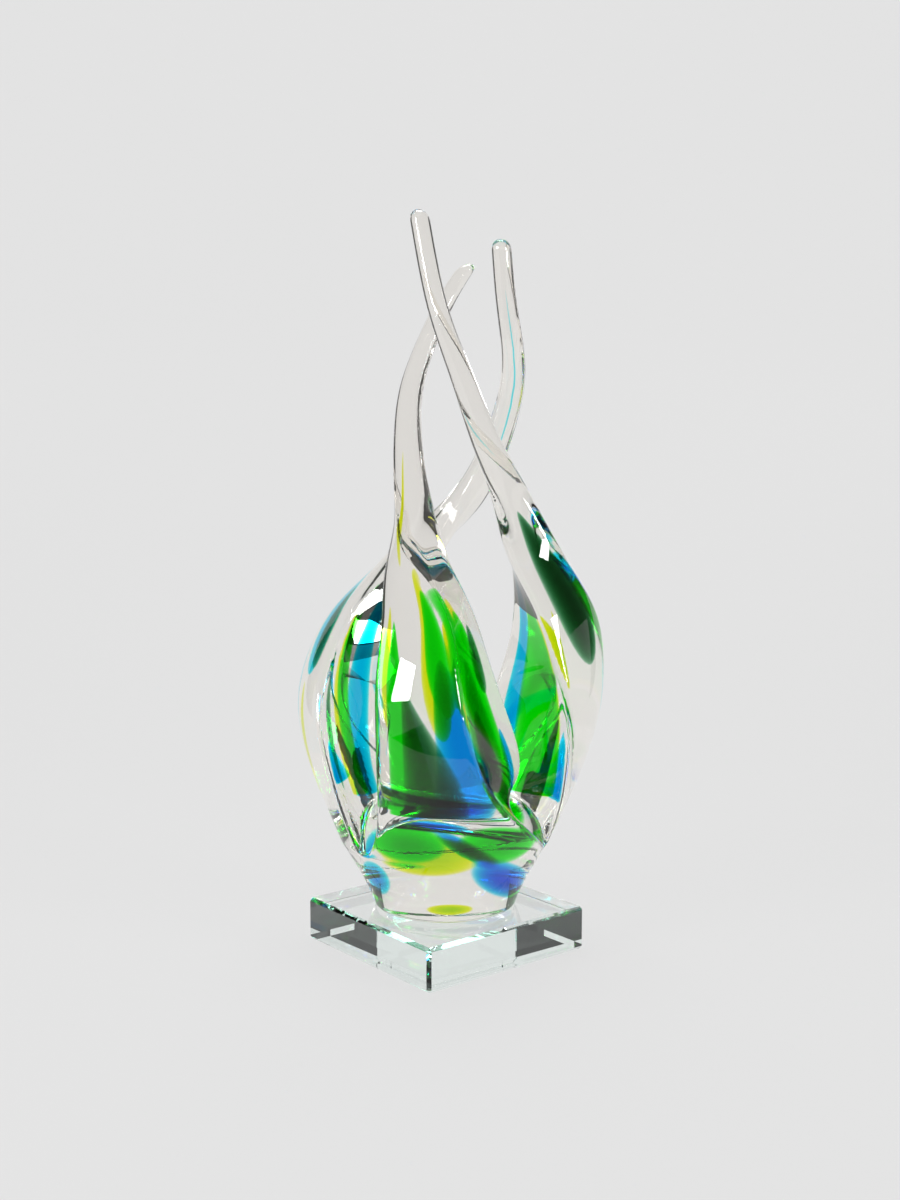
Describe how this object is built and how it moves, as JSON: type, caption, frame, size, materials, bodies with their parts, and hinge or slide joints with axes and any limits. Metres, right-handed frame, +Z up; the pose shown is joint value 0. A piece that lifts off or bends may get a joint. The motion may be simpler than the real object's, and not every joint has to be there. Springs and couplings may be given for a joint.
{
  "type": "glass wave sculpture",
  "caption": "Solid art-glass sculpture: a flame-shaped body whose twisted arms thin out to pointed tips, lime, green and blue streaks cased in clear glass, on a square plinth",
  "frame": {"origin": "The middle of the plinth's underside, which rests on the table.", "axes": "+Z is up. X and Y run along the plinth's sides. The body's own front, the side in the picture, is the -Y direction turned by -39 degrees about +Z, so it looks past a plinth corner."},
  "size_m": [0.1133, 0.1136, 0.2977],
  "materials": {
    "clear_glass": "fire polished",
    "plinth_glass": "polished",
    "adhesive": "clear cured resin",
    "lime_glass": "cased in glass",
    "green_glass": "cased in glass",
    "blue_glass": "cased in glass",
    "dark_glass": "cased in glass"
  },
  "bodies": {
    "root": {"base_arch_blue_veil": "blue_glass", "base_casing": "clear_glass", "base_foot_lime_veil": "lime_glass", "base_left_blue_veil": "blue_glass", "base_left_green_veil": "green_glass", "base_middle_blue_veil": "blue_glass", "base_middle_lime_veil": "lime_glass", "base_right_blue_veil": "blue_glass", "base_right_green_veil": "green_glass", "bond_film": "adhesive", "front_arm_casing": "clear_glass", "front_arm_left_blue_streak": "blue_glass", "front_arm_left_edge_dark_streak": "dark_glass", "front_arm_left_edge_green_streak": "green_glass", "front_arm_left_edge_lime_streak": "lime_glass", "front_arm_left_green_streak": "green_glass", "front_arm_left_lime_streak": "lime_glass", "front_arm_outer_vein_lime_streak": "lime_glass", "front_arm_right_blue_streak": "blue_glass", "front_arm_right_dark_streak": "dark_glass", "front_arm_right_green_streak": "green_glass", "front_arm_right_lime_streak": "lime_glass", "front_arm_right_upper_dark_streak": "dark_glass", "left_arm_casing": "clear_glass", "left_arm_outer_blue_streak": "blue_glass", "left_arm_outer_dark_streak": "dark_glass", "left_arm_outer_rim_blue_streak": "blue_glass", "left_arm_outer_rim_lime_streak": "lime_glass", "left_arm_outer_vein_blue_streak": "blue_glass", "left_arm_right_blue_streak": "blue_glass", "left_arm_right_edge_dark_streak": "dark_glass", "left_arm_right_green_streak": "green_glass", "left_arm_right_lime_streak": "lime_glass", "plinth": "plinth_glass", "right_arm_casing": "clear_glass", "right_arm_left_blue_streak": "blue_glass", "right_arm_left_green_streak": "green_glass", "right_arm_left_lime_streak": "lime_glass", "right_arm_outer_dark_streak": "dark_glass", "right_arm_outer_rim_blue_streak": "blue_glass"}
  },
  "joints": []
}
